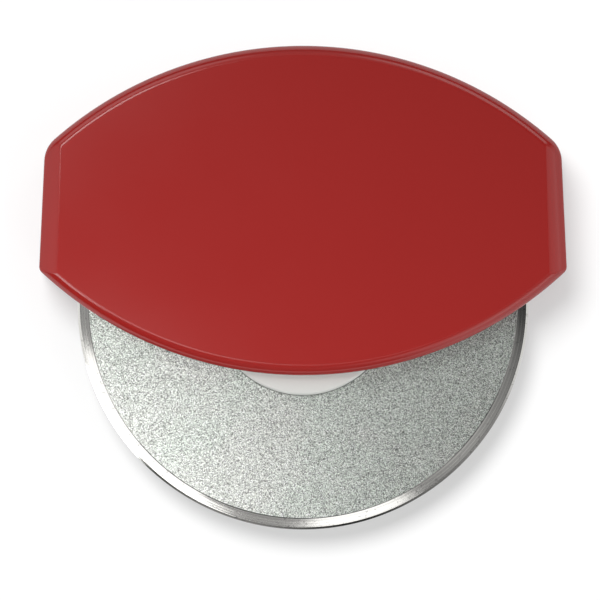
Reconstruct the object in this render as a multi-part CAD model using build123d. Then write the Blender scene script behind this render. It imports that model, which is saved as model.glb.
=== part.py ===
from build123d import *
import math
import os

# Palm-held pizza wheel, lying on its rear cover.
# The origin lies on the resting face, on the wheel's axis. +Z is that axis, +Y points to the
# crown that sits in the palm, and +X runs along the handle's length.
# Sizes are in millimetres and angles in degrees. Every piece is modelled about the wheel's
# middle plane, and seated() lifts it to its height above the resting face.

# Blade
blade_diameter = 101.6
blade_thickness = 1.0
grind_width = 2.6
hone_width = 0.5
hone_thickness_share = 0.36
edge_thickness_share = 0.08

# Hub discs on both faces of the blade
hub_diameter = 41.0
hub_disc_thickness = 3.2
hub_rim_round = 0.7
spigot_wall = 1.2

# Axle pin, the bush that turns on it, and the thrust washers
pin_diameter = 6.0
pin_chamfer = 0.4
bush_wall = 1.5
washer_diameter = 13.0
washer_thickness = 0.5

# Rivets that clamp the hub discs to the blade
rivet_count = 3
rivet_start_angle = 90.0
rivet_diameter = 3.0
rivet_head_diameter = 5.2
rivet_head_height = 0.8
rivet_circle_diameter = 27.0

# Outline of the covers: two large arcs, cut off by two flared ends
crown_margin = 7.2
crown_radius = 84.8
mouth_drop = 16.0
mouth_radius = 86.2
end_margin = 8.85
end_flare = 2.7
upper_corner_radius = 5.6
lower_corner_radius = 1.8
smallest_corner_radius = 0.6

# Section of one cover, with a rounded shoulder between its rim and its flat face
cover_depth = 8.5
wall = 2.0
seam_chamfer = 0.25
shoulder_depth = 3.5
arc_shoulder_width = 2.3
end_shoulder_width = 4.3
face_flare = 1.5
face_corner_share = 0.2
shoulder_turn = 80.0
shoulder_steps = 6

# Step between the covers' rims
tongue_width = 0.9
tongue_height = 1.0

# Screws that hold the covers together, driven from the rear
screw_angles = (25.0, 48.0, 132.0, 155.0)
screw_diameter = 2.6
screw_length = 10.0
screw_point_length = 1.2
screw_head_diameter = 4.8
screw_head_height = 1.6
screw_head_round = 0.5
screw_head_recess = 0.5
drive_span = 2.7
drive_width = 0.75
drive_depth = 0.9

# Bosses, ribs and guide ring inside the covers
boss_wall = 1.1
pin_boss_lip = 1.0
pin_socket_skin = 1.3
rib_thickness = 1.2
rib_setback = 0.2
rib_count = 5
guide_inset = 3.4
guide_start_angle = 15.0

# Clearances
running_play = 0.04
slip_fit = 0.02
loose_fit = 0.15
end_play = 0.12
guide_play = 0.6
hub_lip_gap = 0.7
blade_side_gap = 2.2
boss_blade_gap = 1.5
tongue_fit = 0.1
tip_gap = 0.6
overrun = 1.0

# Heights above the wheel's middle plane
blade_face = blade_thickness / 2
hub_face = blade_face + hub_disc_thickness
washer_foot = hub_face + end_play
boss_face = washer_foot + washer_thickness
lip_face = hub_face + hub_lip_gap
cover_floor = cover_depth - wall
shoulder_foot = cover_depth - shoulder_depth
socket_end = cover_depth - pin_socket_skin
head_hole_depth = screw_head_recess + screw_head_height
screw_tip = head_hole_depth + screw_length - cover_depth

# Radii about the wheel's axis, and those of the pieces that it carries
blade_radius = blade_diameter / 2
pin_radius = pin_diameter / 2
bush_radius = pin_radius + running_play + bush_wall
spigot_radius = bush_radius + slip_fit + spigot_wall
blade_hole_radius = spigot_radius + slip_fit
pin_boss_radius = washer_diameter / 2 + pin_boss_lip
guide_radius = blade_radius - grind_width - guide_inset
rivet_radius = rivet_diameter / 2
screw_radius = screw_diameter / 2
head_hole_radius = screw_head_diameter / 2 + loose_fit
screw_boss_radius = head_hole_radius + boss_wall
screw_circle_radius = blade_radius + boss_blade_gap + screw_boss_radius

# Reach of the covers' outline, and the centres of its arcs
cover_half_width = blade_radius + end_margin
mouth_half_width = blade_radius + blade_side_gap
crown_centre = Vector(0, blade_radius + crown_margin - crown_radius)
mouth_centre = Vector(0, mouth_radius - mouth_drop)

screw_places = [Rot(0, 0, angle) * Pos(screw_circle_radius, 0, 0) for angle in screw_angles]
rivet_places = PolarLocations(rivet_circle_diameter / 2, rivet_count, rivet_start_angle)


def seated(shape):
    """Lifts a shape from the wheel's middle plane to its height above the resting face."""
    return Pos(0, 0, cover_depth) * shape


def rear_twin(shape):
    """The same shape on the rear side of the wheel's middle plane."""
    return mirror(shape, about=Plane.XY)


def rod(radius, low, high):
    """A round bar on the wheel's axis between two heights."""
    return Pos(0, 0, low) * extrude(Circle(radius), amount=high - low)


def mirrored_x(point):
    """The same point on the other side of the handle's centre line."""
    return Vector(-point.X, point.Y)


def corner_points(centre, arc_radius, normal, reach, corner_radius, side):
    """Start, middle and end of the corner arc that joins an end line to a large arc.

    The end line lies at the distance reach along normal. side is 1 for the upper corner and
    -1 for the lower one.
    """
    along = Vector(-normal.Y, normal.X)
    foot = normal * (reach - corner_radius)
    offset = foot - centre
    slide = offset.dot(along)
    root = math.sqrt(slide**2 - offset.dot(offset) + (arc_radius - corner_radius) ** 2)
    corner = foot + along * (side * root - slide)
    outward = (corner - centre).normalized()
    middle = (normal + outward).normalized()
    return (
        corner + normal * corner_radius,
        corner + middle * corner_radius,
        corner + outward * corner_radius,
    )


def cover_outline(height, arc_inset, end_inset, flare, corner_share, corner_inset):
    """The covers' outline as a face at one height, drawn in from the full outline."""
    normal = Vector(math.cos(math.radians(flare)), math.sin(math.radians(flare)))
    reach = cover_half_width * normal.X - end_inset
    upper = max(upper_corner_radius * corner_share - corner_inset, smallest_corner_radius)
    lower = max(lower_corner_radius * corner_share - corner_inset, smallest_corner_radius)
    crown = crown_radius - arc_inset
    mouth = mouth_radius - arc_inset
    end_top, top_bend, crown_end = corner_points(crown_centre, crown, normal, reach, upper, 1)
    end_foot, foot_bend, mouth_end = corner_points(mouth_centre, mouth, normal, reach, lower, -1)
    crown_top = crown_centre + Vector(0, crown)
    mouth_foot = mouth_centre - Vector(0, mouth)
    edges = [
        ThreePointArc(mirrored_x(mouth_end), mouth_foot, mouth_end),
        ThreePointArc(mouth_end, foot_bend, end_foot),
        Line(end_foot, end_top),
        ThreePointArc(end_top, top_bend, crown_end),
        ThreePointArc(crown_end, crown_top, mirrored_x(crown_end)),
        ThreePointArc(mirrored_x(crown_end), mirrored_x(top_bend), mirrored_x(end_top)),
        Line(mirrored_x(end_top), mirrored_x(end_foot)),
        ThreePointArc(mirrored_x(end_foot), mirrored_x(foot_bend), mirrored_x(mouth_end)),
    ]
    return Pos(0, 0, height) * Face(Wire(edges))


def rim_outline(height, inset):
    """The outline of the straight part of the rim, drawn in evenly by inset."""
    return cover_outline(height, inset, inset, end_flare, 1, inset)


def shoulder_sections(inset):
    """Outlines that curve in from the rim to the flat face, a little short of tangent."""
    full_turn = math.radians(shoulder_turn)
    sections = []
    for step in range(shoulder_steps + 1):
        turn = full_turn * step / shoulder_steps
        rise_share = math.sin(turn) / math.sin(full_turn)
        width_share = (1 - math.cos(turn)) / (1 - math.cos(full_turn))
        sections.append(
            cover_outline(
                shoulder_foot + (shoulder_depth - inset) * rise_share,
                inset + (arc_shoulder_width - inset) * width_share,
                inset + (end_shoulder_width - inset) * width_share,
                end_flare + (face_flare - end_flare) * width_share,
                1 + (face_corner_share - 1) * width_share,
                inset,
            )
        )
    return sections


def cover_block(inset, foot_chamfer):
    """A solid cover from the middle plane outwards, drawn in by inset on every side.

    With inset 0 it is the outside of a cover, and with inset equal to the wall its cavity.
    """
    wall_foot = rim_outline(foot_chamfer, inset)
    block = extrude(wall_foot, amount=shoulder_foot - foot_chamfer)
    if foot_chamfer:
        block += loft([rim_outline(0, inset + foot_chamfer), wall_foot], ruled=True)
    return block + loft(shoulder_sections(inset))


def mouth_cutter():
    """The space that the wheel leaves through, between the lips on the lower edge."""
    inner_arc = mouth_radius - wall
    top = mouth_centre.Y - math.sqrt(inner_arc**2 - mouth_half_width**2)
    foot = -mouth_drop - overrun
    depth = lip_face + tongue_height + overrun
    box = Box(2 * mouth_half_width, top - foot, depth, align=(Align.CENTER, Align.MIN, Align.MAX))
    return Pos(0, foot, lip_face) * box


def guide_ring():
    """An arc-shaped rib that keeps the blade from wobbling, clear of the mouth."""
    foot = blade_face + guide_play
    height = cover_floor - foot
    ring = extrude(Circle(guide_radius) - Circle(guide_radius - rib_thickness), amount=height)
    end_height = guide_radius * math.sin(math.radians(guide_start_angle))
    span = 2 * guide_radius
    kept = Box(span, span, height, align=(Align.CENTER, Align.MIN, Align.MIN))
    return Pos(0, 0, foot) * (ring & (Pos(0, end_height, 0) * kept))


def spoke_ribs():
    """Ribs on the cover's floor, from the pin boss out to the guide ring."""
    foot = boss_face + rib_setback
    height = cover_floor - foot
    length = guide_radius - rib_thickness / 2
    rib = Box(length, rib_thickness, height, align=(Align.MIN, Align.CENTER, Align.MIN))
    ribs = Part()
    for number in range(1, rib_count + 1):
        ribs += Pos(0, 0, foot) * Rot(0, 0, 180 * number / (rib_count + 1)) * rib
    return ribs


def screw_bosses():
    """Posts for the screws, each tied to the rim by a web."""
    web_length = cover_half_width - screw_circle_radius + screw_boss_radius
    web = Box(web_length, rib_thickness, cover_floor, align=(Align.MIN, Align.CENTER, Align.MIN))
    post = rod(screw_boss_radius, 0, cover_floor) + web
    bosses = Part()
    for place in screw_places:
        bosses += place * post
    return bosses


def cover_shell():
    """What both covers share: the shell with its mouth, bosses, ribs and pin socket."""
    outside = cover_block(0, seam_chamfer)
    shell = outside - cover_block(wall, 0) - mouth_cutter()
    inside = rod(pin_boss_radius, boss_face, cover_floor) + guide_ring() + spoke_ribs()
    shell += (inside + screw_bosses()) & outside
    return shell - rod(pin_radius + slip_fit, 0, socket_end)


def rim_band(outer_inset, inner_inset, depth):
    """A band inside the rim that reaches past the middle plane."""
    band = rim_outline(0, outer_inset) - rim_outline(0, inner_inset)
    return extrude(band, amount=-depth)


def front_cover():
    """Front shell, with blind screw holes and the tongue that drops into the rear rim."""
    cover = cover_shell()
    hole = rod(screw_radius + slip_fit, 0, screw_tip + tip_gap)
    for place in screw_places:
        cover -= place * hole
    return cover + (rim_band(wall - tongue_width, wall, tongue_height) - mouth_cutter())


def rear_cover():
    """Rear shell, with the screws' through holes, their sunk seats and the rim's rebate."""
    cover = rear_twin(cover_shell())
    hole = rod(screw_radius + loose_fit, -cover_depth, 0)
    seat = rod(head_hole_radius, -cover_depth, head_hole_depth - cover_depth)
    for place in screw_places:
        cover -= place * (hole + seat)
    outer_inset = wall - tongue_width - tongue_fit
    return cover - rim_band(outer_inset, wall + tongue_fit, tongue_height + tongue_fit)


def blade():
    """Steel disc with a wide ground bevel and a narrow honed one on both sides."""
    upper_side = [
        (blade_hole_radius, blade_face),
        (blade_radius - grind_width, blade_face),
        (blade_radius - hone_width, blade_face * hone_thickness_share),
        (blade_radius, blade_face * edge_thickness_share),
    ]
    lower_side = [(radius, -height) for radius, height in reversed(upper_side)]
    profile = Polyline(*upper_side, *lower_side, close=True)
    disc = revolve(Plane.XZ * make_face(profile), axis=Axis.Z)
    hole = rod(rivet_radius + slip_fit, -blade_face, blade_face)
    for place in rivet_places:
        disc -= place * hole
    return disc


def front_hub():
    """Plastic disc on the blade's front face, with sunk seats for the rivet heads."""
    disc = rod(hub_diameter / 2, blade_face, hub_face)
    disc = fillet(disc.edges().sort_by(Axis.Z)[-1], hub_rim_round)
    disc -= rod(bush_radius + slip_fit, blade_face, hub_face)
    hole = rod(rivet_radius + slip_fit, blade_face, hub_face)
    seat_depth = rivet_head_height + loose_fit
    seat = rod(rivet_head_diameter / 2 + loose_fit, hub_face - seat_depth, hub_face)
    for place in rivet_places:
        disc -= place * (hole + seat)
    return disc


def rear_hub():
    """Rear disc, whose spigot carries the blade by its centre hole."""
    spigot_end = blade_face - slip_fit
    spigot = rod(spigot_radius, -blade_face, spigot_end)
    spigot -= rod(bush_radius + slip_fit, -blade_face, spigot_end)
    return rear_twin(front_hub()) + spigot


def hub_rivets():
    """Rivets with a domed head at both ends, as separate solids."""
    seat = hub_face - rivet_head_height - loose_fit
    head = rod(rivet_head_diameter / 2, seat, seat + rivet_head_height)
    head = fillet(head.edges().sort_by(Axis.Z)[-1], rivet_head_height / 2)
    rivet = rod(rivet_radius, -seat, seat) + head + rear_twin(head)
    return Compound([place * rivet.solid() for place in rivet_places])


def hub_bush():
    """Plain bearing sleeve, pressed through both hub discs."""
    bore = rod(pin_radius + running_play, -hub_face, hub_face)
    return rod(bush_radius, -hub_face, hub_face) - bore


def front_washer():
    """Thrust washer between the hub and the cover's pin boss."""
    hole = rod(pin_radius + loose_fit, washer_foot, boss_face)
    return rod(washer_diameter / 2, washer_foot, boss_face) - hole


def axle_pin():
    """Steel pin, held in a blind socket of each cover."""
    end = socket_end - tip_gap / 2
    pin = rod(pin_radius, -end, end)
    return chamfer(pin.edges().filter_by(GeomType.CIRCLE), pin_chamfer)


def cover_screws():
    """Pan-head screws with a cross recess, as separate solids."""
    seat = head_hole_depth - cover_depth
    head = rod(screw_head_diameter / 2, seat - screw_head_height, seat)
    head = fillet(head.edges().sort_by(Axis.Z)[0], screw_head_round)
    slot = Box(drive_span, drive_width, drive_depth, align=(Align.CENTER, Align.CENTER, Align.MIN))
    head -= Pos(0, 0, seat - screw_head_height) * (slot + Rot(0, 0, 90) * slot)
    point_start = screw_tip - screw_point_length
    point_align = (Align.CENTER, Align.CENTER, Align.MIN)
    point = Cone(screw_radius, screw_radius / 3, screw_point_length, align=point_align)
    screw = head + rod(screw_radius, seat, point_start) + Pos(0, 0, point_start) * point
    return Compound([place * screw.solid() for place in screw_places])


pieces = {
    "front_cover": front_cover(),
    "rear_cover": rear_cover(),
    "cover_screws": cover_screws(),
    "axle_pin": axle_pin(),
    "front_washer": front_washer(),
    "rear_washer": rear_twin(front_washer()),
    "hub_bush": hub_bush(),
    "front_hub": front_hub(),
    "rear_hub": rear_hub(),
    "hub_rivets": hub_rivets(),
    "blade": blade(),
}

os.makedirs("parts", exist_ok=True)
for name, piece in pieces.items():
    export_step(seated(piece), f"parts/{name}.step")
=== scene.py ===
"""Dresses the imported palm-held pizza wheel and sets up the studio for its picture.

The frame holds every piece at its real place, in metres: z = 0 is the resting face, +Z runs along
the wheel's axis out of the front cover, and +Y points to the crown that sits in the palm. Covers,
wheel and fasteners are modelled anew with finer forms. The pin, the bush and the washers keep
their shape and get a finish. Sizes are in metres, and the sub-assemblies' angles in degrees.
"""

import logging
import math
from collections.abc import Callable
from dataclasses import dataclass
from enum import Enum

import bmesh
import bpy
from mathutils import Matrix, Vector


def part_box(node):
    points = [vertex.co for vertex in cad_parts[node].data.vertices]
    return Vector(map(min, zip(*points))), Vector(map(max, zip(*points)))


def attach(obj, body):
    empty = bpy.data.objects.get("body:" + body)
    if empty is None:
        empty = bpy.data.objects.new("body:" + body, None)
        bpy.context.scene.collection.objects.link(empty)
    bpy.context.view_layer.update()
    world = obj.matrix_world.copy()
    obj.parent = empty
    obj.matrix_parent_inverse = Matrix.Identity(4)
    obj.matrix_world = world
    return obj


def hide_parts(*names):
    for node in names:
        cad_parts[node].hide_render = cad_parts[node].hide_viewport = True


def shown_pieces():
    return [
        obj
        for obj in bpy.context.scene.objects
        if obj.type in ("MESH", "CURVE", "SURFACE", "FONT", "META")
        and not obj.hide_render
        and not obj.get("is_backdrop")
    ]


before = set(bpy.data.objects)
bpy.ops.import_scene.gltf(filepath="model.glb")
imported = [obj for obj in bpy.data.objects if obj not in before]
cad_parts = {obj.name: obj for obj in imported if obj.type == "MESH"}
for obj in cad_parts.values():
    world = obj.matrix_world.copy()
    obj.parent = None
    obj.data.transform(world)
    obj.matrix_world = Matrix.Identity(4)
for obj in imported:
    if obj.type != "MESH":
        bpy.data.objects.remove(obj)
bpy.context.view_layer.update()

log = logging.getLogger("pizza_wheel")

Colour = tuple[float, float, float]
Size = tuple[float, float, float]
Place = tuple[float, float]
Span = tuple[float, float]
Profile = list[Place]
Socket = bpy.types.NodeSocket
Piece = bpy.types.Object


class Side(Enum):
    """The two sides of the wheel's middle plane, by the sign of the height above it."""

    FRONT = 1
    REAR = -1


class Cut(Enum):
    """What a tool solid does to a piece."""

    REMOVE = "DIFFERENCE"
    ADD = "UNION"


def arithmetic(kind: str, reflected: bool = False) -> Callable[["Signal", "Signal | float"], "Signal"]:
    """A method that adds a Math node on two values, the other one first if reflected."""

    def method(self: "Signal", other: "Signal | float") -> "Signal":
        """The result of the two values."""
        values = (other, self) if reflected else (self, other)
        node = self.graph.node("ShaderNodeMath", {"operation": kind}, dict(enumerate(values)))
        return Signal(self.graph, node.outputs[0])

    return method


class Signal:
    """A number that varies over a surface. Arithmetic on it adds Math nodes."""

    __add__ = arithmetic("ADD")
    __radd__ = arithmetic("ADD", reflected=True)
    __sub__ = arithmetic("SUBTRACT")
    __rsub__ = arithmetic("SUBTRACT", reflected=True)
    __mul__ = arithmetic("MULTIPLY")
    __rmul__ = arithmetic("MULTIPLY", reflected=True)
    __truediv__ = arithmetic("DIVIDE")
    __pow__ = arithmetic("POWER")

    def __init__(self, graph: "ShaderGraph", socket: Socket) -> None:
        """Wraps one output socket of the graph."""
        self.graph = graph
        self.socket = socket

    def between(self, low: float, high: float) -> "Signal":
        """Rises smoothly from 0 at low to 1 at high. With low above high it falls instead."""
        falls = float(low > high)
        values = {
            "Value": self, "From Min": min(low, high), "From Max": max(low, high),
            "To Min": falls, "To Max": 1.0 - falls,
        }
        settings = {"interpolation_type": "SMOOTHSTEP"}
        node = self.graph.node("ShaderNodeMapRange", settings, values)
        return Signal(self.graph, node.outputs["Result"])


class ShaderGraph:
    """The nodes of one material, or of the world."""

    def __init__(self, owner: bpy.types.Material | bpy.types.World) -> None:
        """Empties the owner's node tree for new nodes."""
        owner.use_nodes = True
        self.tree = owner.node_tree
        self.tree.nodes.clear()

    def node(self, kind: str, settings: dict | None = None, values: dict | None = None) -> bpy.types.Node:
        """Adds a node of any kind.

        Args:
            kind: the node's type.
            settings: its properties, set first.
            values: what its input sockets hold, by name or number: a value, socket or signal.

        Returns:
            The node.
        """
        node = self.tree.nodes.new(kind)
        for name, setting in (settings or {}).items():
            setattr(node, name, setting)
        for name, value in (values or {}).items():
            source = value.socket if isinstance(value, Signal) else value
            if isinstance(source, Socket):
                self.tree.links.new(source, node.inputs[name])
            else:
                node.inputs[name].default_value = source
        return node

    def place(self) -> Socket:
        """The point on the piece, in metres."""
        return self.node("ShaderNodeTexCoord").outputs["Object"]

    def split(self, vector: Socket) -> tuple[Signal, Signal, Signal]:
        """The three parts of a vector."""
        node = self.node("ShaderNodeSeparateXYZ", None, {"Vector": vector})
        return tuple(Signal(self, socket) for socket in node.outputs)

    def along(self, vector: Socket, axis: Vector) -> Signal:
        """How far a vector reaches along an axis."""
        values = {0: vector, 1: tuple(axis)}
        node = self.node("ShaderNodeVectorMath", {"operation": "DOT_PRODUCT"}, values)
        return Signal(self, node.outputs["Value"])

    def stretched(self, vector: Socket, scale: Size, turn: float = 0.0) -> Socket:
        """The vector turned about Z, then scaled along each axis."""
        values = {"Vector": vector, "Rotation": (0.0, 0.0, turn), "Scale": scale}
        return self.node("ShaderNodeMapping", None, values).outputs["Vector"]

    def noise(self, vector: Socket, scale: float, detail: float = 2.0, mix: float = 0.5) -> Signal:
        """Cloudy noise around one half, with as many finer layers as detail, each of strength mix."""
        values = {"Vector": vector, "Scale": scale, "Detail": detail, "Roughness": mix}
        return Signal(self, self.node("ShaderNodeTexNoise", None, values).outputs[0])

    def cells(self, vector: Socket, scale: float) -> tuple[Signal, Signal]:
        """Scattered cells: the distance to a cell's centre, and a random number for each."""
        node = self.node("ShaderNodeTexVoronoi", None, {"Vector": vector, "Scale": scale})
        shade = self.split(node.outputs["Color"])[0]
        return Signal(self, node.outputs["Distance"]), shade

    def mixed(self, share: Signal, first: Colour | Socket, second: Colour | Socket) -> Socket:
        """A colour between first, at share 0, and second, at share 1."""
        # A Mix node's sockets for colours are inputs 6 and 7 and output 2.
        ends = [(*c, 1.0) if isinstance(c, tuple) else c for c in (first, second)]
        values = {0: share, 6: ends[0], 7: ends[1]}
        return self.node("ShaderNodeMix", {"data_type": "RGBA"}, values).outputs[2]

    def dimmed(self, colour: Colour | Socket, level: Signal) -> Socket:
        """The colour times a level."""
        grey = self.node("ShaderNodeCombineXYZ", None, {0: level, 1: level, 2: level}).outputs[0]
        settings = {"operation": "MULTIPLY"}
        return self.node("ShaderNodeVectorMath", settings, {0: grey, 1: colour}).outputs[0]

    def bump(self, height: Signal, depth: float, normal: Socket | None = None) -> Socket:
        """The surface's normal, tilted by a relief of the given depth in metres."""
        values = {"Height": height, "Distance": depth, "Strength": 1.0}
        if normal is not None:
            values["Normal"] = normal
        return self.node("ShaderNodeBump", None, values).outputs["Normal"]

    def surface(self, values: dict) -> None:
        """Lays a Principled surface with the given inputs."""
        shader = self.node("ShaderNodeBsdfPrincipled", None, values)
        self.finish(shader.outputs["BSDF"])

    def finish(self, shader: Socket, output: str = "ShaderNodeOutputMaterial") -> None:
        """Links a shader to the output."""
        self.node(output, None, {"Surface": shader})


@dataclass(frozen=True)
class Finish:
    """What every finish has: a name, which is its slot in the record, and a colour.

    In all finishes a scale counts a texture's marks to the metre, a contrast, shade or mottle is
    a share of the colour, a depth is in metres, and a pair says where marks start and are full.
    """

    name: str
    colour: Colour

    def material(self) -> bpy.types.Material:
        """The finish as a material, made once and shared."""
        known = bpy.data.materials.get(self.name + "_finish")
        if known is not None:
            return known
        made = bpy.data.materials.new(self.name + "_finish")
        self.lay(ShaderGraph(made))
        return made

    def lay(self, graph: ShaderGraph) -> None:
        """Adds the finish's nodes. Each kind of finish has its own."""
        raise NotImplementedError

    def dress(self, piece: Piece) -> None:
        """Gives a piece this finish as its only material."""
        piece.data.materials.clear()
        piece.data.materials.append(self.material())


@dataclass(frozen=True)
class GlossPlastic(Finish):
    """Glossy moulded plastic with painted shading, paler towards -Y, dust, and patches of hairline
    scratches.

    The scratches run along turns in radians.
    """

    roughness: float = 0.16
    painted_light_span: float = 0.074
    painted_light_middle: float = 0.021
    painted_light_ramp: float = 0.2
    cloud_scale: float = 35.0
    mottle: float = 0.03
    dust_colour: Colour = (0.5, 0.32, 0.3)
    dust_scale: float = 90.0
    dust_radius: float = 0.02
    dust_chance: Span = (0.9, 0.92)
    dust_roughness: float = 0.4
    smear_scale: float = 60.0
    smear_mix: float = 0.6
    smear_roughness: float = 0.06
    scratch_turns: tuple[float, ...] = (0.9, 2.3)
    scratch_stretch: Size = (900.0, 45.0, 45.0)
    scratch_edge: Span = (0.72, 0.8)
    scratch_roughness: float = 0.04
    scratch_share: float = 0.1
    patch_scale: float = 22.0
    patch_edge: Span = (0.56, 0.66)
    skin_scale: float = 900.0
    skin_share: float = 0.3
    relief_depth: float = 0.000002

    def lay(self, graph: ShaderGraph) -> None:
        """Adds the nodes of the plastic."""
        place = graph.place()
        # Painted shading: the colour grows paler towards -Y, the foot, standing in for light that falls
        # more on the lower side.
        down = (self.painted_light_middle - graph.split(place)[1]) / self.painted_light_span
        cloud = graph.noise(place, self.cloud_scale, detail=3.0) - 0.5
        # The tone mixes the painted shading ramp with random mottle.
        tone = 1.0 + down * self.painted_light_ramp + cloud * self.mottle
        colour = graph.dimmed(self.colour, tone)
        distance, chance = graph.cells(place, self.dust_scale)
        speck = distance.between(self.dust_radius, self.dust_radius / 2)
        dust = speck * chance.between(*self.dust_chance)
        first, second = (self.scratches(graph, place, turn) for turn in self.scratch_turns)
        scratch = first + second
        smear = graph.noise(place, self.smear_scale, detail=4.0, mix=self.smear_mix) - 0.5
        uneven = self.roughness + smear * self.smear_roughness + scratch * self.scratch_roughness
        skin = graph.noise(place, self.skin_scale)
        relief = skin * self.skin_share - scratch * self.scratch_share
        graph.surface({
            "Base Color": graph.mixed(dust, colour, self.dust_colour),
            "Roughness": uneven + dust * self.dust_roughness,
            "Normal": graph.bump(relief, self.relief_depth),
        })

    def scratches(self, graph: ShaderGraph, place: Socket, turn: float) -> Signal:
        """Thin lines along one direction, in a few patches only."""
        lines = graph.noise(graph.stretched(place, self.scratch_stretch, turn), 1.0, detail=1.0)
        patches = graph.noise(place, self.patch_scale)
        return lines.between(*self.scratch_edge) * patches.between(*self.patch_edge)


@dataclass(frozen=True)
class BladeSteel(Finish):
    """Stainless sheet with a sparkling grain, and a bright ground bevel from face_radius out.

    Painted shade darkens a thin ring round the hub disc's rim, and a dull burr lies where the bevel
    starts.
    """

    face_radius: float = 0.0482
    face_edge: float = 0.00002
    face_roughness: float = 0.29
    tint: Colour = (0.96, 1.0, 0.98)
    tint_scale: float = 55.0
    tint_edge: Span = (0.4, 0.6)
    hub_radius: float = 0.0205
    hub_shade_width: float = 0.0004
    hub_shade_strength: float = 0.75
    grain_scale: float = 6500.0
    grain_contrast: float = 1.7
    grain_depth: float = 0.00002
    brush_stretch: Size = (1800.0, 60.0, 1.0)
    brush_contrast: float = 0.15
    bevel_colour: Colour = (0.74, 0.73, 0.7)
    bevel_roughness: float = 0.1
    bevel_level: float = 0.6
    line_scale: float = 2200.0
    line_contrast: float = 0.8
    line_depth: float = 0.00001
    wobble_scale: float = 110.0
    wobble: float = 0.0003
    nick_scale: float = 1300.0
    nick_edge: Span = (0.62, 0.72)
    nick_shade: float = 0.25
    burr_width: float = 0.00035
    burr_shade: float = 0.8

    def lay(self, graph: ShaderGraph) -> None:
        """Adds the nodes of the steel."""
        place = graph.place()
        x, y, _ = graph.split(place)
        radius = (x * x + y * y) ** 0.5
        bevel = radius.between(self.face_radius - self.face_edge, self.face_radius + self.face_edge)
        grain = graph.cells(place, self.grain_scale)[1] - 0.5
        lines = self.grind_lines(graph, place, radius)
        relief = graph.bump(grain * (1.0 - bevel), self.grain_depth)
        relief = graph.bump(lines * bevel, self.line_depth, relief)
        face = self.face(graph, place, radius, grain)
        graph.surface({
            "Base Color": graph.mixed(bevel, face, self.bevel(graph, place, radius, lines)),
            "Metallic": 1.0,
            "Roughness": self.face_roughness + bevel * (self.bevel_roughness - self.face_roughness),
            "Normal": relief,
        })

    def face(self, graph: ShaderGraph, place: Socket, radius: Signal, grain: Signal) -> Socket:
        """The flat face's colour, from its grain, a cool tint in clouds, and painted shade at the hub's
        rim.
        """
        brush = graph.noise(graph.stretched(place, self.brush_stretch), 1.0) - 0.5
        speckle = 1.0 + grain * self.grain_contrast + brush * self.brush_contrast
        cool = tuple(part * share for part, share in zip(self.colour, self.tint))
        cloud = graph.noise(place, self.tint_scale, detail=3.0)
        tinted = graph.mixed(cloud.between(*self.tint_edge), self.colour, cool)
        # Painted contact shadow: the face is darkened in a thin ring round the hub disc's rim.
        hub_shade = 1.0 - radius.between(self.hub_radius, self.hub_radius + self.hub_shade_width)
        return graph.dimmed(tinted, speckle * (1.0 - hub_shade * self.hub_shade_strength))

    def bevel(self, graph: ShaderGraph, place: Socket, radius: Signal, lines: Signal) -> Socket:
        """The bevel's colour, from its grinding lines, some nicks and the burr."""
        nicks = graph.noise(place, self.nick_scale).between(*self.nick_edge)
        sheen = self.bevel_level + lines * self.line_contrast - nicks * self.nick_shade
        burr = 1.0 - radius.between(self.face_radius, self.face_radius + self.burr_width)
        return graph.dimmed(self.bevel_colour, sheen * (1.0 - burr * self.burr_shade))

    def grind_lines(self, graph: ShaderGraph, place: Socket, radius: Signal) -> Signal:
        """Slightly wavy rings of uneven height about the wheel's axis."""
        wobble = (graph.noise(place, self.wobble_scale, detail=3.0) - 0.5) * self.wobble
        values = {"W": radius + wobble, "Scale": self.line_scale, "Detail": 3.0}
        node = graph.node("ShaderNodeTexNoise", {"noise_dimensions": "1D"}, values)
        return Signal(graph, node.outputs[0])


@dataclass(frozen=True)
class SatinPlastic(Finish):
    """Matt or satin moulded plastic with a fine, even skin."""

    roughness: float = 0.4
    cloud_scale: float = 70.0
    cloud_roughness: float = 0.1
    mottle: float = 0.06
    skin_scale: float = 1400.0
    skin_depth: float = 0.000004

    def lay(self, graph: ShaderGraph) -> None:
        """Adds the nodes of the plastic."""
        place = graph.place()
        cloud = graph.noise(place, self.cloud_scale, detail=3.0) - 0.5
        graph.surface({
            "Base Color": graph.dimmed(self.colour, 1.0 + cloud * self.mottle),
            "Roughness": self.roughness + cloud * self.cloud_roughness,
            "Normal": graph.bump(graph.noise(place, self.skin_scale), self.skin_depth),
        })


@dataclass(frozen=True)
class PlainSteel(Finish):
    """Turned or plated steel with fine marks round the axis of the piece."""

    roughness: float = 0.3
    mark_stretch: Size = (0.2, 0.2, 1.0)
    mark_scale: float = 2400.0
    mark_contrast: float = 0.2
    mark_depth: float = 0.000003
    stain_scale: float = 400.0
    stain_contrast: float = 0.16
    stain_roughness: float = 0.2

    def lay(self, graph: ShaderGraph) -> None:
        """Adds the nodes of the steel."""
        place = graph.place()
        marks = graph.noise(graph.stretched(place, self.mark_stretch), self.mark_scale) - 0.5
        stain = graph.noise(place, self.stain_scale, detail=3.0) - 0.5
        tone = 1.0 + marks * self.mark_contrast + stain * self.stain_contrast
        graph.surface({
            "Base Color": graph.dimmed(self.colour, tone),
            "Metallic": 1.0,
            "Roughness": self.roughness + stain * self.stain_roughness,
            "Normal": graph.bump(marks, self.mark_depth),
        })


def on_circle(radius: float, angles: tuple[float, ...]) -> list[Place]:
    """Places on a circle about the wheel's axis, at angles in degrees from +X."""
    turns = [math.radians(angle) for angle in angles]
    return [(radius * math.cos(turn), radius * math.sin(turn)) for turn in turns]


def quarter_turn(steps: int) -> list[float]:
    """Angles from nothing to a quarter turn, in even steps."""
    return [math.pi / 2 * step / steps for step in range(steps + 1)]


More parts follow.
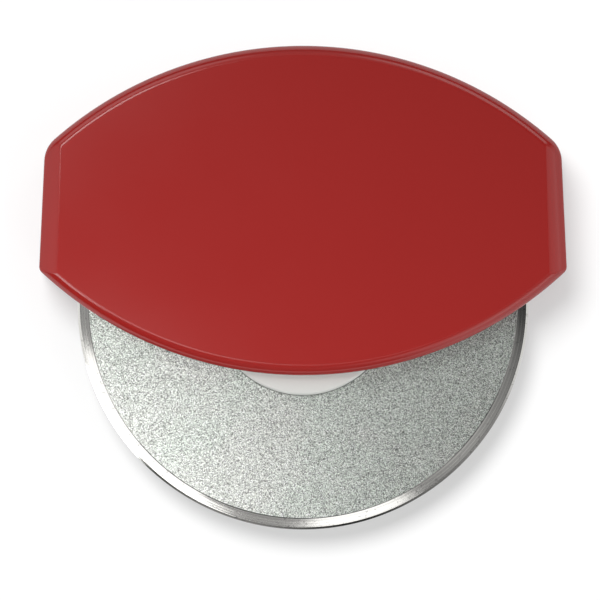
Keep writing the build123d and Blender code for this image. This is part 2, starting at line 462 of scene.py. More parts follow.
def rounded(corner: Place, bend: float, steps: int) -> Profile:
    """A profile's outer, upper corner, rounded by a bend from its side to its top."""
    radius, height = corner
    return [
        (radius - bend + bend * math.cos(turn), height - bend + bend * math.sin(turn))
        for turn in quarter_turn(steps)
    ]


@dataclass(frozen=True)
class Workbench:
    """Modelling steps that the pieces share. Each leaves the piece's place in its mesh.

    Points closer than the weld are merged. The corners of a turned piece are turned on by the
    lag, a share of one side.
    """

    weld: float = 0.000001
    lag: float = 0.37

    def take(self, piece: Piece) -> None:
        """Makes one piece the only selected and the active one."""
        bpy.ops.object.select_all(action="DESELECT")
        piece.select_set(True)
        bpy.context.view_layer.objects.active = piece

    def start(self, name: str) -> Piece:
        """Names the primitive just added, and moves its place into its mesh."""
        piece = bpy.context.object
        piece.name = name
        piece.data.name = name
        bpy.ops.object.transform_apply(location=True, rotation=True, scale=True)
        return piece

    def through(self, name: str, rings: list[list[Vector]]) -> Piece:
        """A closed block through outlines of as many points each, extruded ring by ring.

        Args:
            name: the new piece's name.
            rings: the outlines, from the foot to the top.

        Returns:
            The piece.
        """
        bpy.ops.object.select_all(action="DESELECT")
        bpy.ops.mesh.primitive_circle_add(vertices=len(rings[0]), fill_type="NGON")
        piece = self.start(name)
        self.open()
        self.lay_cap(piece, rings[0])
        for ring in rings[1:]:
            bpy.ops.mesh.extrude_region_move()
            self.lay_cap(piece, ring)
        self.close()
        return piece

    def lay_cap(self, piece: Piece, ring: list[Vector]) -> None:
        """Lays the corners of the selected face on an outline's points, in order."""
        mesh = bmesh.from_edit_mesh(piece.data)
        cap = [corner for corner in mesh.verts if corner.select]
        for corner, point in zip(cap, ring, strict=True):
            corner.co = point
        bmesh.update_edit_mesh(piece.data)

    def open(self) -> None:
        """Starts to edit the active piece, with all of it selected."""
        bpy.ops.object.mode_set(mode="EDIT")
        bpy.ops.mesh.select_all(action="SELECT")

    def close(self) -> None:
        """Merges what touches, turns all faces outwards and leaves edit mode."""
        bpy.ops.mesh.select_all(action="SELECT")
        bpy.ops.mesh.remove_doubles(threshold=self.weld)
        bpy.ops.mesh.normals_make_consistent(inside=False)
        bpy.ops.object.mode_set(mode="OBJECT")

    def turned(self, name: str, profile: Profile, sides: int, centre: Place = (0.0, 0.0)) -> Piece:
        """A piece turned about an upright axis.

        Args:
            name: the new piece's name.
            profile: pairs of radius and height. A profile that ends where it starts makes a
                ring, and any other a solid with flat ends.
            sides: how many sides approximate the round.
            centre: where the axis stands.

        Returns:
            The piece.
        """
        is_ring = profile[0] == profile[-1]
        radius, height = profile[0]
        bpy.ops.object.select_all(action="DESELECT")
        bpy.ops.mesh.primitive_circle_add(
            vertices=sides, radius=radius, location=(*centre, height),
            rotation=(0.0, 0.0, 2 * math.pi * self.lag / sides),
            fill_type="NOTHING" if is_ring else "NGON",
        )
        piece = self.start(name)
        self.open()
        for (radius, height), (next_radius, next_height) in zip(profile, profile[1:]):
            rise = (0.0, 0.0, next_height - height)
            share = next_radius / radius
            bpy.ops.mesh.extrude_region_move(TRANSFORM_OT_translate={"value": rise})
            bpy.ops.transform.resize(
                value=(share, share, 1.0), center_override=(*centre, next_height)
            )
        self.close()
        return piece

    def bar(self, name: str, size: Size, corner: Size, turn: float = 0.0) -> Piece:
        """A straight bar from a corner, turned about the upright axis through the origin."""
        bpy.ops.object.select_all(action="DESELECT")
        middle = Vector(corner) + Vector(size) / 2
        bpy.ops.mesh.primitive_cube_add(
            size=1.0, location=Matrix.Rotation(turn, 3, "Z") @ middle, rotation=(0.0, 0.0, turn),
            scale=size,
        )
        return self.start(name)

    def drill(self, piece: Piece, profile: Profile, sides: int, places: list[Place]) -> None:
        """Cuts the same turned hole at several places."""
        bit = self.turned("bit", profile, sides)
        for place in places:
            tool = self.copied(bit, "drill", Matrix.Translation((*place, 0.0)))
            self.work(piece, tool, Cut.REMOVE)
        bpy.data.objects.remove(bit)

    def apply(self, piece: Piece, kind: str, settings: dict) -> None:
        """Adds a modifier with the given settings and applies it."""
        self.take(piece)
        bpy.ops.object.modifier_add(type=kind)
        modifier = piece.modifiers[-1]
        for name, value in settings.items():
            setattr(modifier, name, value)
        bpy.ops.object.modifier_apply(modifier=modifier.name)

    def work(self, piece: Piece, tool: Piece, cut: Cut) -> None:
        """Removes a tool solid from a piece, or adds it, and clears the tool away."""
        self.apply(piece, "BOOLEAN", {"operation": cut.value, "solver": "EXACT", "object": tool})
        bpy.data.objects.remove(tool)

    def mirror(self, piece: Piece) -> None:
        """Mirrors a piece about the level plane through the origin."""
        piece.data.transform(Matrix.Scale(-1.0, 4, (0.0, 0.0, 1.0)))
        piece.data.flip_normals()

    def copied(self, piece: Piece, name: str, move: Matrix) -> Piece:
        """A copy with its own mesh, moved within it."""
        twin = piece.copy()
        twin.data = piece.data.copy()
        twin.name = name
        twin.data.name = name
        twin.data.transform(move)
        bpy.context.scene.collection.objects.link(twin)
        return twin

    def smooth(self, piece: Piece, angle: float) -> None:
        """Shades a piece smooth, apart from edges sharper than angle degrees."""
        self.take(piece)
        bpy.ops.object.shade_smooth_by_angle(angle=math.radians(angle))

    def set_in(self, piece: Piece, finish: Finish, body: str, node: str) -> None:
        """Dresses a finished piece, lets it ride on its body and stand for its node."""
        finish.dress(piece)
        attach(piece, body)
        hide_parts(node)
        log.info("%s: %d faces, rides on %s", piece.name, len(piece.data.polygons), body)


@dataclass(frozen=True)
class Seat:
    """What the frame gives: radii about the wheel's axis, and heights above the middle plane.

    The middle is that plane's own height, and the crown and the foot are measured along +Y.
    """

    middle: float
    blade_radius: float
    blade_half: float
    hub_radius: float
    hub_face: float
    pin_radius: float
    bush_radius: float
    crown: float
    foot: float
    depth: float

    @classmethod
    def from_frame(cls) -> "Seat":
        """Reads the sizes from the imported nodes."""
        blade_low, blade_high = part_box("blade")
        hub_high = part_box("front_hub")[1]
        cover_low, cover_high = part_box("front_cover")
        middle = (blade_low.z + blade_high.z) / 2
        return cls(
            middle=middle,
            blade_radius=-blade_low.y,
            blade_half=blade_high.z - middle,
            hub_radius=hub_high.x,
            hub_face=hub_high.z - middle,
            pin_radius=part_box("axle_pin")[1].x,
            bush_radius=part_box("hub_bush")[1].x,
            crown=cover_high.y,
            foot=cover_low.y,
            depth=cover_high.z - middle,
        )


@dataclass(frozen=True)
class DrawIn:
    """How far an outline of the covers is drawn in on each stretch, its flare and its rounds."""

    crown: float
    end: float
    mouth: float
    flare: float
    upper_round: float
    lower_round: float


@dataclass
class Covers:
    """The two shells of the handle, alike apart from the tongue at the seam and the holes."""

    seat: Seat
    bench: Workbench
    finish: GlossPlastic
    end_margin: float = 0.00885
    crown_radius: float = 0.0848
    mouth_radius: float = 0.0862
    end_flare: float = 2.7
    face_flare: float = 1.5
    upper_round: float = 0.0068
    lower_round: float = 0.0018
    least_round: float = 0.0006
    face_round_share: float = 0.2
    shoulder_depth: float = 0.0018
    hollow_depth: float = 0.0035
    rim_inset: float = 0.00012
    rim_drop: float = 0.0003
    rim_turn: float = 35.0
    arc_shoulder: float = 0.0023
    end_shoulder: float = 0.0043
    crown_turn: float = 88.0
    mouth_turn: float = 84.0
    end_turn: float = 72.0
    face_margin: float = 0.00015
    seam_chamfer: float = 0.00025
    wall: float = 0.002
    mouth_side: float = 0.0022
    lip_gap: float = 0.0007
    tongue_width: float = 0.0009
    tongue_height: float = 0.001
    tongue_fit: float = 0.0001
    tongue_step: float = 0.00002
    boss_radius: float = 0.0075
    boss_foot: float = 0.00432
    socket_skin: float = 0.0013
    socket_fit: float = 0.00002
    rib: float = 0.0012
    rib_foot: float = 0.00452
    rib_count: int = 5
    guide_radius: float = 0.0448
    guide_foot: float = 0.0011
    guide_start: float = 15.0
    post_radius: float = 0.00365
    post_circle: float = 0.05595
    post_angles: tuple[float, ...] = (25.0, 48.0, 132.0, 155.0)
    blind_radius: float = 0.00132
    blind_height: float = 0.0042
    through_radius: float = 0.00145
    head_radius: float = 0.00255
    head_depth: float = 0.0021
    head_chamfer: float = 0.0002
    overrun: float = 0.0015
    crease: float = 35.0
    arc_steps: int = 48
    corner_steps: int = 8
    end_steps: int = 6
    shoulder_steps: int = 16
    round_sides: int = 48

    @property
    def half_width(self) -> float:
        """From the wheel's axis to an end line, level with the axis."""
        return self.seat.blade_radius + self.end_margin

    @property
    def posts(self) -> list[Place]:
        """Where the screws' posts stand."""
        return on_circle(self.post_circle, self.post_angles)

    @property
    def crown_centre(self) -> Vector:
        """Centre of the crown's arc."""
        return Vector((0.0, self.seat.crown - self.crown_radius))

    @property
    def mouth_centre(self) -> Vector:
        """Centre of the arc of the lower edge."""
        return Vector((0.0, self.seat.foot + self.mouth_radius))

    def corner(
        self, centre: Vector, arc: float, normal: Vector, reach: float, turn: float, side: int
    ) -> Vector:
        """Centre of the round between an end line and a large arc.

        Args:
            centre: the large arc's centre.
            arc: its radius.
            normal: the end line's outward normal.
            reach: the end line's distance from the origin along its normal.
            turn: the round's radius.
            side: 1 for the upper corner and -1 for the lower one.

        Returns:
            The round's centre.
        """
        along = Vector((-normal.y, normal.x))
        foot = normal * (reach - turn)
        offset = foot - centre
        slide = offset.dot(along)
        root = math.sqrt(slide**2 - offset.length_squared + (arc - turn) ** 2)
        return foot + along * (side * root - slide)

    @staticmethod
    def arc(centre: Vector, radius: float, start: float, end: float, steps: int) -> list[Vector]:
        """Points along an arc from one angle towards another, without the last one."""
        angles = [start + (end - start) * step / steps for step in range(steps)]
        return [centre + radius * Vector((math.cos(a), math.sin(a))) for a in angles]

    def outline(self, drawn: DrawIn, height: float) -> list[Vector]:
        """One outline of the covers at a height above the middle plane.

        Args:
            drawn: how far it is drawn in.
            height: its height above the middle plane.

        Returns:
            Its points, counter-clockwise from the lowest one.
        """
        lean = math.radians(drawn.flare)
        normal = Vector((math.cos(lean), math.sin(lean)))
        reach = self.half_width * normal.x - drawn.end
        crown = self.crown_radius - drawn.crown
        mouth = self.mouth_radius - drawn.mouth
        upper = self.corner(self.crown_centre, crown, normal, reach, drawn.upper_round, 1)
        lower = self.corner(self.mouth_centre, mouth, normal, reach, drawn.lower_round, -1)
        upper_out, lower_out = upper - self.crown_centre, lower - self.mouth_centre
        upper_angle = math.atan2(upper_out.y, upper_out.x)
        lower_angle = math.atan2(lower_out.y, lower_out.x)
        quarter = math.pi / 2
        foot = lower + normal * drawn.lower_round
        head = upper + normal * drawn.upper_round
        line = [foot.lerp(head, step / self.end_steps) for step in range(self.end_steps)]
        steps = self.corner_steps
        right = [
            *self.arc(self.mouth_centre, mouth, -quarter, lower_angle, self.arc_steps),
            *self.arc(lower, drawn.lower_round, lower_angle, lean, steps),
            *line,
            *self.arc(upper, drawn.upper_round, lean, upper_angle, steps),
            *self.arc(self.crown_centre, crown, upper_angle, quarter, self.arc_steps),
        ]
        top = self.crown_centre + Vector((0.0, crown))
        left = [Vector((-point.x, point.y)) for point in reversed(right[1:])]
        return [point.to_3d() + Vector((0.0, 0.0, height)) for point in [*right, top, *left]]

    def even(self, inset: float) -> DrawIn:
        """The rim's outline, drawn in alike all round."""
        upper = max(self.upper_round - inset, self.least_round)
        lower = max(self.lower_round - inset, self.least_round)
        return DrawIn(inset, inset, inset, self.end_flare, upper, lower)

    @staticmethod
    def width_share(rise_share: float, start: float, turn: float) -> float:
        """The share of its width that a shoulder has drawn in at a share of its rise.

        It leans in by start at its foot and by turn at its top, in degrees from upright.
        """
        first, last = math.radians(start), math.radians(turn)
        rise = math.sin(first) + rise_share * (math.sin(last) - math.sin(first))
        return (math.cos(first) - math.cos(math.asin(rise))) / (math.cos(first) - math.cos(last))

    def shoulder(self, rim: float, foot: float, top: float, start: float) -> list[list[Vector]]:
        """Outlines that curve in from the rim to the flat face.

        Args:
            rim: how far the lowest outline is drawn in.
            foot: its height above the middle plane.
            top: the height of the highest one.
            start: how far the curve leans in at its foot, in degrees from upright.

        Returns:
            The outlines, from the foot to the top.
        """
        rings = []
        first, last = math.radians(start), math.radians(self.crown_turn)
        for step in range(self.shoulder_steps + 1):
            angle = first + (last - first) * step / self.shoulder_steps
            rise = (math.sin(angle) - math.sin(first)) / (math.sin(last) - math.sin(first))
            end = self.width_share(rise, start, self.end_turn)
            share = 1 + (self.face_round_share - 1) * end
            drawn = DrawIn(
                rim + (self.arc_shoulder - rim) * self.width_share(rise, start, self.crown_turn),
                rim + (self.end_shoulder - rim) * end,
                rim + (self.arc_shoulder - rim) * self.width_share(rise, start, self.mouth_turn),
                self.end_flare + (self.face_flare - self.end_flare) * end,
                max(self.upper_round * share - rim, self.least_round),
                max(self.lower_round * share - rim, self.least_round),
            )
            rings.append(self.outline(drawn, foot + (top - foot) * rise))
        return rings

    def outside(self) -> Piece:
        """A solid cover, from the chamfer at the seam to the flat face."""
        margin = self.face_margin
        depth = self.seat.depth
        foot = depth - self.shoulder_depth
        full = DrawIn(
            self.arc_shoulder + margin, self.end_shoulder + margin, self.arc_shoulder + margin,
            self.face_flare, self.upper_round * self.face_round_share, self.least_round,
        )
        rings = [
            self.outline(self.even(self.seam_chamfer), 0.0),
            self.outline(self.even(0.0), self.seam_chamfer),
            self.outline(self.even(0.0), foot - self.rim_drop),
            *self.shoulder(self.rim_inset, foot, depth, self.rim_turn),
            self.outline(full, depth),
        ]
        return self.bench.through("cover", rings)

    def hollow(self) -> Piece:
        """The space inside a cover, without what stands in it."""
        rim = self.outline(self.even(self.wall), -self.overrun)
        depth = self.seat.depth
        shoulder = self.shoulder(self.wall, depth - self.hollow_depth, depth - self.wall, 0.0)
        hollow = self.bench.through("hollow", [rim, *shoulder])
        for solid in self.inner_solids():
            self.bench.work(hollow, solid, Cut.REMOVE)
        return hollow

    def inner_solids(self) -> list[Piece]:
        """Pin boss, guide ring, ribs, and the screws' posts with their webs."""
        bench = self.bench
        top = self.seat.depth - self.wall / 2
        boss_profile = [(self.boss_radius, self.boss_foot), (self.boss_radius, top)]
        solids = [bench.turned("boss", boss_profile, self.round_sides), self.guide(top)]
        start = self.boss_radius / 2
        size = (self.guide_radius - self.rib / 2 - start, self.rib, top - self.rib_foot)
        for number in range(1, self.rib_count + 1):
            turn = math.pi * number / (self.rib_count + 1)
            solids.append(bench.bar("rib", size, (start, -self.rib / 2, self.rib_foot), turn))
        foot = -2 * self.overrun
        profile = [(self.post_radius, foot), (self.post_radius, top)]
        size = (self.half_width - self.post_circle + self.post_radius, self.rib, top - foot)
        for angle, place in zip(self.post_angles, self.posts):
            solids.append(bench.turned("post", profile, self.round_sides, place))
            corner = (self.post_circle, -self.rib / 2, foot)
            solids.append(bench.bar("web", size, corner, math.radians(angle)))
        return solids

    def guide(self, top: float) -> Piece:
        """The arc-shaped rib beside the blade, cut off above the mouth."""
        inner = self.guide_radius - self.rib
        profile = [
            (self.guide_radius, self.guide_foot), (self.guide_radius, top), (inner, top),
            (inner, self.guide_foot), (self.guide_radius, self.guide_foot),
        ]
        guide = self.bench.turned("guide", profile, 2 * self.round_sides)
        end = self.guide_radius * math.sin(math.radians(self.guide_start))
        self.bench.take(guide)
        self.bench.open()
        bpy.ops.mesh.bisect(
            plane_co=(0.0, end, 0.0), plane_no=(0.0, 1.0, 0.0), use_fill=True, clear_inner=True
        )
        self.bench.close()
        return guide

    def slab(self, inset: float, foot: float, top: float) -> Piece:
        """A solid within the rim, at an inset, between two heights above the middle plane."""
        rings = [self.outline(self.even(inset), height) for height in (foot, top)]
        return self.bench.through("slab", rings)

    def band(self, outer: float, inner: float, foot: float, top: float) -> Piece:
        """A ring along the rim, between two insets and two heights above the middle plane."""
        band = self.slab(outer, foot, top)
        core = self.slab(inner, foot - self.overrun, top + self.overrun)
        self.bench.work(band, core, Cut.REMOVE)
        return band

    def tongue(self) -> Piece:
        """The front cover's ring that drops into the rear one's rebate, rooted in its rim."""
        outer, inner = self.wall - self.tongue_width, self.wall - self.tongue_step
        tongue = self.band(outer, inner, -self.tongue_height, self.tongue_height)
        self.bench.work(tongue, self.mouth(self.tongue_step), Cut.REMOVE)
        return tongue

    def rebate(self) -> Piece:
        """The space in the rear cover's rim for the tongue."""
        outer = self.wall - self.tongue_width - self.tongue_fit
        top = self.tongue_height + self.tongue_fit
        return self.band(outer, self.wall + self.tongue_fit, -self.overrun, top)

    def mouth(self, margin: float = 0.0) -> Piece:
        """The space that the wheel leaves through, widened by a margin at both ends."""
        half = self.seat.blade_radius + self.mouth_side + margin
        inner = self.mouth_radius - self.wall
        top = self.mouth_centre.y - math.sqrt(inner**2 - half**2)
        foot = self.seat.foot - self.overrun
        lip = self.seat.hub_face + self.lip_gap
        size = (2 * half, top - foot, lip + self.overrun)
        return self.bench.bar("mouth", size, (-half, foot, -self.overrun))

    def shell(self) -> Piece:
        """What both covers share, about the middle plane at height 0."""
        shell = self.outside()
        self.bench.work(shell, self.hollow(), Cut.REMOVE)
        self.bench.work(shell, self.mouth(), Cut.REMOVE)
        socket = self.seat.pin_radius + self.socket_fit
        profile = [(socket, -self.overrun), (socket, self.seat.depth - self.socket_skin)]
        tool = self.bench.turned("socket", profile, self.round_sides)
        self.bench.work(shell, tool, Cut.REMOVE)
        return shell

    def build(self) -> None:
        """Makes both covers from one shell and sets them in the frame."""
        front = self.shell()
        rear = self.bench.copied(front, "handle_rear", Matrix.Identity(4))
        front.name = "handle_front"
        self.bench.work(front, self.tongue(), Cut.ADD)
        self.bench.work(rear, self.rebate(), Cut.REMOVE)
        blind = [(self.blind_radius, -self.overrun), (self.blind_radius, self.blind_height)]
        self.bench.drill(front, blind, self.round_sides, self.posts)
        floor = self.seat.depth - self.head_depth
        through = [
            (self.through_radius, -self.overrun),
            (self.through_radius, floor),
            (self.head_radius, floor),
            (self.head_radius, self.seat.depth - self.head_chamfer),
            (self.head_radius + 2 * self.head_chamfer, self.seat.depth + self.head_chamfer),
        ]
        self.bench.drill(rear, through, self.round_sides, self.posts)
        self.bench.mirror(rear)
        for cover, node in ((front, "front_cover"), (rear, "rear_cover")):
            cover.data.transform(Matrix.Translation((0.0, 0.0, self.seat.middle)))
            self.bench.smooth(cover, self.crease)
            self.bench.set_in(cover, self.finish, "handle", node)


@dataclass
class Wheel:
    """The blade, the hub discs that carry it and the rivets that hold them together."""

    seat: Seat
    bench: Workbench
    blade_finish: BladeSteel
    hub_finish: SatinPlastic
    rivet_finish: PlainSteel
    grind_width: float = 0.0026
    groove_width: float = 0.00016
    groove_share: float = 0.88
    fuller_width: float = 0.0012
    fuller_share: float = 0.58
    hone_width: float = 0.0005
    hone_share: float = 0.36
    edge_share: float = 0.08
    hub_round: float = 0.0007
    bore_chamfer: float = 0.0002
    spigot_wall: float = 0.0012
    fit: float = 0.00002
    rivet_circle: float = 0.0135
    rivet_angles: tuple[float, ...] = (90.0, 210.0, 330.0)
    rivet_radius: float = 0.0015
    head_radius: float = 0.0026
    head_height: float = 0.0008
    seat_radius: float = 0.00275
    seat_depth: float = 0.00095
    overrun: float = 0.0005
    blade_crease: float = 4.0
    crease: float = 30.0
    blade_sides: int = 288
    hub_sides: int = 160
    rivet_sides: int = 48
    round_steps: int = 6

    @property
    def places(self) -> list[Place]:
        """Where the rivets stand."""
        return on_circle(self.rivet_circle, self.rivet_angles)

    def lifted(self, profile: Profile, side: Side = Side.FRONT) -> Profile:
        """A profile about the middle plane, at its height above the resting face."""
        return [(radius, self.seat.middle + side.value * height) for radius, height in profile]

    def blade(self) -> Piece:
        """The steel disc, ground in steps towards its edge on both faces."""
        outer, half = self.seat.blade_radius, self.seat.blade_half
        inner = self.seat.bush_radius + self.spigot_wall + 2 * self.fit
        face_end = outer - self.grind_width
        upper = [
            (inner, half),
            (self.rivet_circle - self.head_radius, half),
            (self.rivet_circle + self.head_radius, half),
            (face_end, half),
            (face_end + self.groove_width, half * self.groove_share),
            (face_end + self.fuller_width, half * self.fuller_share),
            (outer - self.hone_width, half * self.hone_share),
            (outer, half * self.edge_share),
        ]
        lower = [(radius, -height) for radius, height in reversed(upper)]
        profile = self.lifted([*upper, *lower, upper[0]])
        blade = self.bench.turned("wheel_blade", profile, self.blade_sides)
        hole = self.rivet_radius + self.fit
        cut = self.lifted([(hole, -half - self.overrun), (hole, half + self.overrun)])
        self.bench.drill(blade, cut, self.rivet_sides, self.places)
        self.bench.smooth(blade, self.blade_crease)
        return blade

    def hub(self, side: Side) -> Piece:
        """One hub disc with sunk rivet seats. The rear one carries the blade on its spigot."""
        face, foot, outer = self.seat.hub_face, self.seat.blade_half, self.seat.hub_radius
        bore = self.seat.bush_radius + self.fit
        chamfer = self.bore_chamfer
        rim = rounded((outer, face), self.hub_round, self.round_steps)
        spigot = bore + self.spigot_wall
        start = [(bore, foot)]
        if side is Side.REAR:
            start = [(bore, self.fit - foot), (spigot, self.fit - foot), (spigot, foot)]
        profile = [*start, (outer, foot), *rim, (bore + chamfer, face), (bore, face - chamfer)]
        profile = self.lifted([*profile, profile[0]], side)
        disc = self.bench.turned(f"hub_{side.name.lower()}", profile, self.hub_sides)
        hole = self.rivet_radius + self.fit
        step = face - self.seat_depth
        cut = [
            (hole, foot - self.overrun), (hole, step),
            (self.seat_radius, step), (self.seat_radius, face + self.overrun),
        ]
        self.bench.drill(disc, self.lifted(cut, side), self.rivet_sides, self.places)
        self.bench.smooth(disc, self.crease)
        return disc

    def rivets(self) -> list[Piece]:
        """Rivets with a domed head at both ends, one modelled and the others copied."""
        seat = self.seat.hub_face - self.seat_depth
        corner = (self.head_radius, seat + self.head_height)
        dome = rounded(corner, self.head_height / 2, self.round_steps)
        half = [(self.rivet_radius, seat), (self.head_radius, seat), *dome]
        profile = [(radius, -height) for radius, height in reversed(half)] + half
        model = self.bench.turned("rivet_model", self.lifted(profile), self.rivet_sides)
        self.bench.smooth(model, self.crease)
        rivets = []
        for number, place in enumerate(self.places, start=1):
            move = Matrix.Translation((*place, 0.0))
            rivets.append(self.bench.copied(model, f"rivet_{number}", move))
        bpy.data.objects.remove(model)
        return rivets

    def build(self) -> None:
        """Makes the wheel and sets it in the frame."""
        self.bench.set_in(self.blade(), self.blade_finish, "wheel", "blade")
        self.bench.set_in(self.hub(Side.FRONT), self.hub_finish, "wheel", "front_hub")
        self.bench.set_in(self.hub(Side.REAR), self.hub_finish, "wheel", "rear_hub")
        for rivet in self.rivets():
            self.bench.set_in(rivet, self.rivet_finish, "wheel", "hub_rivets")


@dataclass
class Screws:
    """The pan-head screws that hold the covers together, driven from the rear."""

    covers: Covers
    bench: Workbench
    finish: PlainSteel
    head_recess: float = 0.0005
    head_radius: float = 0.0024
    head_height: float = 0.0016
    head_round: float = 0.0005
    shank_radius: float = 0.0013
    length: float = 0.01
    point_length: float = 0.0012
    point_taper: float = 3.0
    drive_span: float = 0.0027
    drive_width: float = 0.00075
    drive_depth: float = 0.0009
    crease: float = 30.0
    sides: int = 48
    round_steps: int = 5

    def model(self) -> Piece:
        """One screw on the axis x = y = 0, its head down."""
        foot = self.head_recess
        seat = foot + self.head_height
        bend = self.head_round
        head = [
            (self.head_radius - bend + bend * math.sin(turn), foot + bend - bend * math.cos(turn))
            for turn in quarter_turn(self.round_steps)
        ]
        tip = seat + self.length
        shank = self.shank_radius
        profile = [
            *head, (self.head_radius, seat), (shank, seat), (shank, tip - self.point_length),
            (shank / self.point_taper, tip),
        ]
        screw = self.bench.turned("screw_model", profile, self.sides)
        for turn in (0.0, math.pi / 2):
            size = (self.drive_span, self.drive_width, 2 * self.drive_depth)
            corner = (-self.drive_span / 2, -self.drive_width / 2, foot - self.drive_depth)
            slot = self.bench.bar("slot", size, corner, turn)
            self.bench.work(screw, slot, Cut.REMOVE)
        self.bench.smooth(screw, self.crease)
        return screw

    def build(self) -> None:
        """Copies the screw to each post and sets the copies in the frame."""
        model = self.model()
        for number, angle in enumerate(self.covers.post_angles, start=1):
            turn = math.radians(angle)
            move = Matrix.Rotation(turn, 4, "Z") @ Matrix.Translation((self.covers.post_circle, 0.0, 0.0))
            screw = self.bench.copied(model, f"screw_{number}", move)
            self.bench.set_in(screw, self.finish, "handle", "cover_screws")
        bpy.data.objects.remove(model)


def toward(azimuth: float, tilt: float) -> Vector:
    """The direction at an azimuth, from +X towards +Y, and a tilt from upright, in degrees."""
    turn, lean = math.radians(azimuth), math.radians(tilt)
    flat = math.sin(lean)
    return Vector((math.cos(turn) * flat, math.sin(turn) * flat, math.cos(lean)))


@dataclass(frozen=True)
class Glow:
    """A soft round patch of light in the surroundings, its direction and spread in degrees."""

    azimuth: float
    tilt: float
    spread: float
    level: float


@dataclass(frozen=True)
class Lamp:
    """An area lamp that faces the part, its direction in degrees and its sizes in metres.

    Its length runs up and down as seen from the part, and its width across.
    """

    name: str
    azimuth: float
    tilt: float
    distance: float
    width: float
    length: float
    level: float


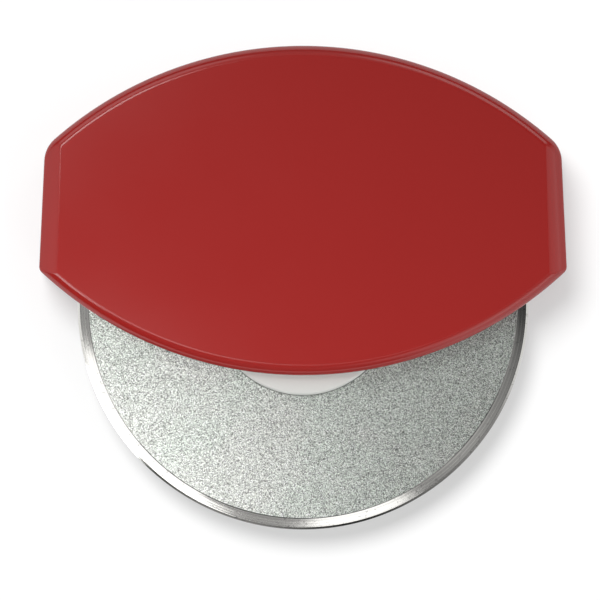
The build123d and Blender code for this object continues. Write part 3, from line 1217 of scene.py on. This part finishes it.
@dataclass
class Studio:
    """Floor, lamps, surroundings and camera."""

    seat: Seat
    metres_per_pixel: float = 0.0002253
    axis_pixel: Place = (303.0, 304.0)
    frame_pixels: int = 600
    camera_height: float = 2.0
    camera_reach: float = 10.0
    floor_size: float = 6.0
    floor_gap: float = 0.00005
    floor_white: float = 0.46
    floor_tone: float = 0.4
    shadow_level: float = 1.05
    shadow_lean: Place = (0.27, -0.48)
    shadow_spread: float = 28.0
    dimness: float = 0.035
    glow_blur: float = 0.3
    lamp_power: float = 4.0
    glows: tuple[Glow, ...] = (
        Glow(0.0, 0.0, 12.0, 0.19),
        Glow(270.0, 60.0, 20.0, 0.25),
        Glow(185.0, 24.0, 10.0, 0.4),
        Glow(252.0, 22.0, 12.0, 0.4),
        Glow(330.0, 25.0, 10.0, 0.35),
        Glow(307.0, 24.0, 9.0, 0.3),
        Glow(90.0, 32.0, 14.0, 0.5),
        Glow(90.0, 62.0, 14.0, 0.45),
        Glow(60.0, 55.0, 16.0, 2.4),
        Glow(120.0, 55.0, 16.0, 2.0),
        Glow(300.0, 55.0, 16.0, 1.1),
        Glow(180.0, 60.0, 30.0, 1.1),
        Glow(0.0, 42.0, 16.0, 0.9),
        Glow(0.0, 65.0, 28.0, 0.25),
        Glow(0.0, 82.0, 28.0, 0.9),
        Glow(315.0, 80.0, 25.0, 1.3),
    )
    lamps: tuple[Lamp, ...] = (
        Lamp("lamp_upper_left", 137.0, 27.0, 0.28, 0.1, 0.08, 4.8),
        Lamp("lamp_lower_left", 210.0, 40.0, 0.28, 0.08, 0.08, 4.2),
        Lamp("lamp_near", 218.0, 23.5, 0.28, 0.11, 0.07, 1.0),
        Lamp("lamp_low", 230.0, 16.0, 0.28, 0.08, 0.08, 1.75),
        Lamp("lamp_foot", 285.0, 20.0, 0.6, 0.1, 0.1, 1.0),
    )

    def hung(self, data: bpy.types.Camera | bpy.types.Light, place: Matrix) -> Piece:
        """A camera or lamp, put in its place in the scene."""
        holder = bpy.data.objects.new(data.name, data)
        holder.matrix_world = place
        bpy.context.scene.collection.objects.link(holder)
        return holder

    def camera(self) -> None:
        """A long lens straight above the part, framed as in the photograph."""
        middle = self.frame_pixels / 2
        x = (middle - self.axis_pixel[0]) * self.metres_per_pixel
        y = (self.axis_pixel[1] - middle) * self.metres_per_pixel
        lens = bpy.data.cameras.new("camera")
        lens.lens = lens.sensor_width * self.camera_height / (self.frame_pixels * self.metres_per_pixel)
        lens.clip_end = self.camera_reach
        place = Matrix.Translation((x, y, self.seat.middle + self.camera_height))
        bpy.context.scene.camera = self.hung(lens, place)

    def floor(self) -> Piece:
        """A pale floor that looks white and keeps the part's shadow."""
        bpy.ops.object.select_all(action="DESELECT")
        bpy.ops.mesh.primitive_plane_add(size=self.floor_size, location=(0.0, 0.0, -self.floor_gap))
        floor = bpy.context.object
        floor.name = "floor"
        floor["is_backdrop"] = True
        material = bpy.data.materials.new("floor_finish")
        graph = ShaderGraph(material)
        path = graph.node("ShaderNodeLightPath").outputs
        seen = Signal(graph, path["Is Camera Ray"]) + Signal(graph, path["Is Glossy Ray"])
        seen = seen + Signal(graph, path["Is Transmission Ray"])
        tone = (self.floor_tone,) * 3 + (1.0,)
        matt = graph.node("ShaderNodeBsdfDiffuse", None, {"Color": tone}).outputs[0]
        glow = graph.node("ShaderNodeEmission", None, {"Strength": seen * self.floor_white})
        both = graph.node("ShaderNodeAddShader", None, {0: matt, 1: glow.outputs[0]})
        graph.finish(both.outputs[0])
        floor.data.materials.append(material)
        return floor

    def surroundings(self) -> None:
        """A dim room with a few soft glows."""
        world = bpy.data.worlds.new("studio")
        graph = ShaderGraph(world)
        direction = graph.node("ShaderNodeTexCoord").outputs["Generated"]
        level = self.dimness
        for glow in self.glows:
            nearness = graph.along(direction, toward(glow.azimuth, glow.tilt))
            edge, core = (1 + self.glow_blur) * glow.spread, (1 - self.glow_blur) * glow.spread
            ends = math.cos(math.radians(edge)), math.cos(math.radians(core))
            level = level + nearness.between(*ends) * glow.level
        sky = graph.node("ShaderNodeBackground", None, {"Strength": level}).outputs[0]
        graph.finish(sky, "ShaderNodeOutputWorld")
        bpy.context.scene.world = world

    def place_lamp(self, lamp: Lamp, receivers: bpy.types.Collection) -> None:
        """Hangs one area lamp so that it faces the part and lights only the receivers."""
        facing = toward(lamp.azimuth, lamp.tilt)
        light = bpy.data.lights.new(lamp.name, "AREA")
        light.shape = "RECTANGLE"
        light.size = lamp.length
        light.size_y = lamp.width
        light.energy = self.lamp_power * lamp.level * lamp.width * lamp.length
        fall = toward(lamp.azimuth, lamp.tilt + 90.0)
        axes = Matrix((fall, facing.cross(fall), facing)).transposed()
        place = facing * lamp.distance + Vector((0.0, 0.0, self.seat.middle))
        holder = self.hung(light, Matrix.Translation(place) @ axes.to_4x4())
        holder.visible_camera = False
        holder.light_linking.receiver_collection = receivers

    def shadow_lamp(self, receivers: bpy.types.Collection) -> None:
        """A soft far lamp that lays the part's shadow on the floor, to the lower right."""
        light = bpy.data.lights.new("lamp_shadow", "SUN")
        light.angle = math.radians(self.shadow_spread)
        light.energy = math.pi * self.shadow_level
        lean = Vector((-self.shadow_lean[0], -self.shadow_lean[1], 1.0))
        holder = self.hung(light, lean.to_track_quat("Z", "Y").to_matrix().to_4x4())
        holder.light_linking.receiver_collection = receivers

    def group(self, name: str, members: list[Piece]) -> bpy.types.Collection:
        """A collection for light linking."""
        group = bpy.data.collections.new(name)
        for member in members:
            group.objects.link(member)
        return group

    def build(self) -> None:
        """Sets up everything round the part."""
        self.camera()
        floor = self.floor()
        self.surroundings()
        part = self.group("lit_part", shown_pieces())
        for lamp in self.lamps:
            self.place_lamp(lamp, part)
        self.shadow_lamp(self.group("lit_floor", [floor]))
        bpy.context.scene.view_settings.view_transform = "Standard"
        log.info("studio: %d lamps", len(self.lamps) + 1)


def main() -> None:
    """Builds the sub-assemblies and the studio in order."""
    logging.basicConfig(level=logging.INFO, format="%(name)s: %(message)s")
    seat = Seat.from_frame()
    bench = Workbench()
    red = GlossPlastic("red_plastic", (0.355, 0.018, 0.0155))
    covers = Covers(seat, bench, red)
    covers.build()
    Wheel(
        seat, bench,
        BladeSteel("blade_steel", (0.6, 0.615, 0.58)),
        SatinPlastic("hub_plastic", (0.76, 0.77, 0.74)),
        PlainSteel("rivet_steel", (0.55, 0.55, 0.55)),
    ).build()
    Screws(covers, bench, PlainSteel("screw_steel", (0.58, 0.57, 0.54), roughness=0.25)).build()
    washer = SatinPlastic("washer_plastic", (0.72, 0.72, 0.7))
    kept = {
        "axle_pin": PlainSteel("pin_steel", (0.58, 0.58, 0.58), roughness=0.22),
        "hub_bush": SatinPlastic("bush_plastic", (0.66, 0.64, 0.57)),
        "front_washer": washer,
        "rear_washer": washer,
    }
    for node, finish in kept.items():
        finish.dress(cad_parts[node])
        log.info("%s: keeps its shape", node)
    Studio(seat).build()


if __name__ == "__main__":
    main()
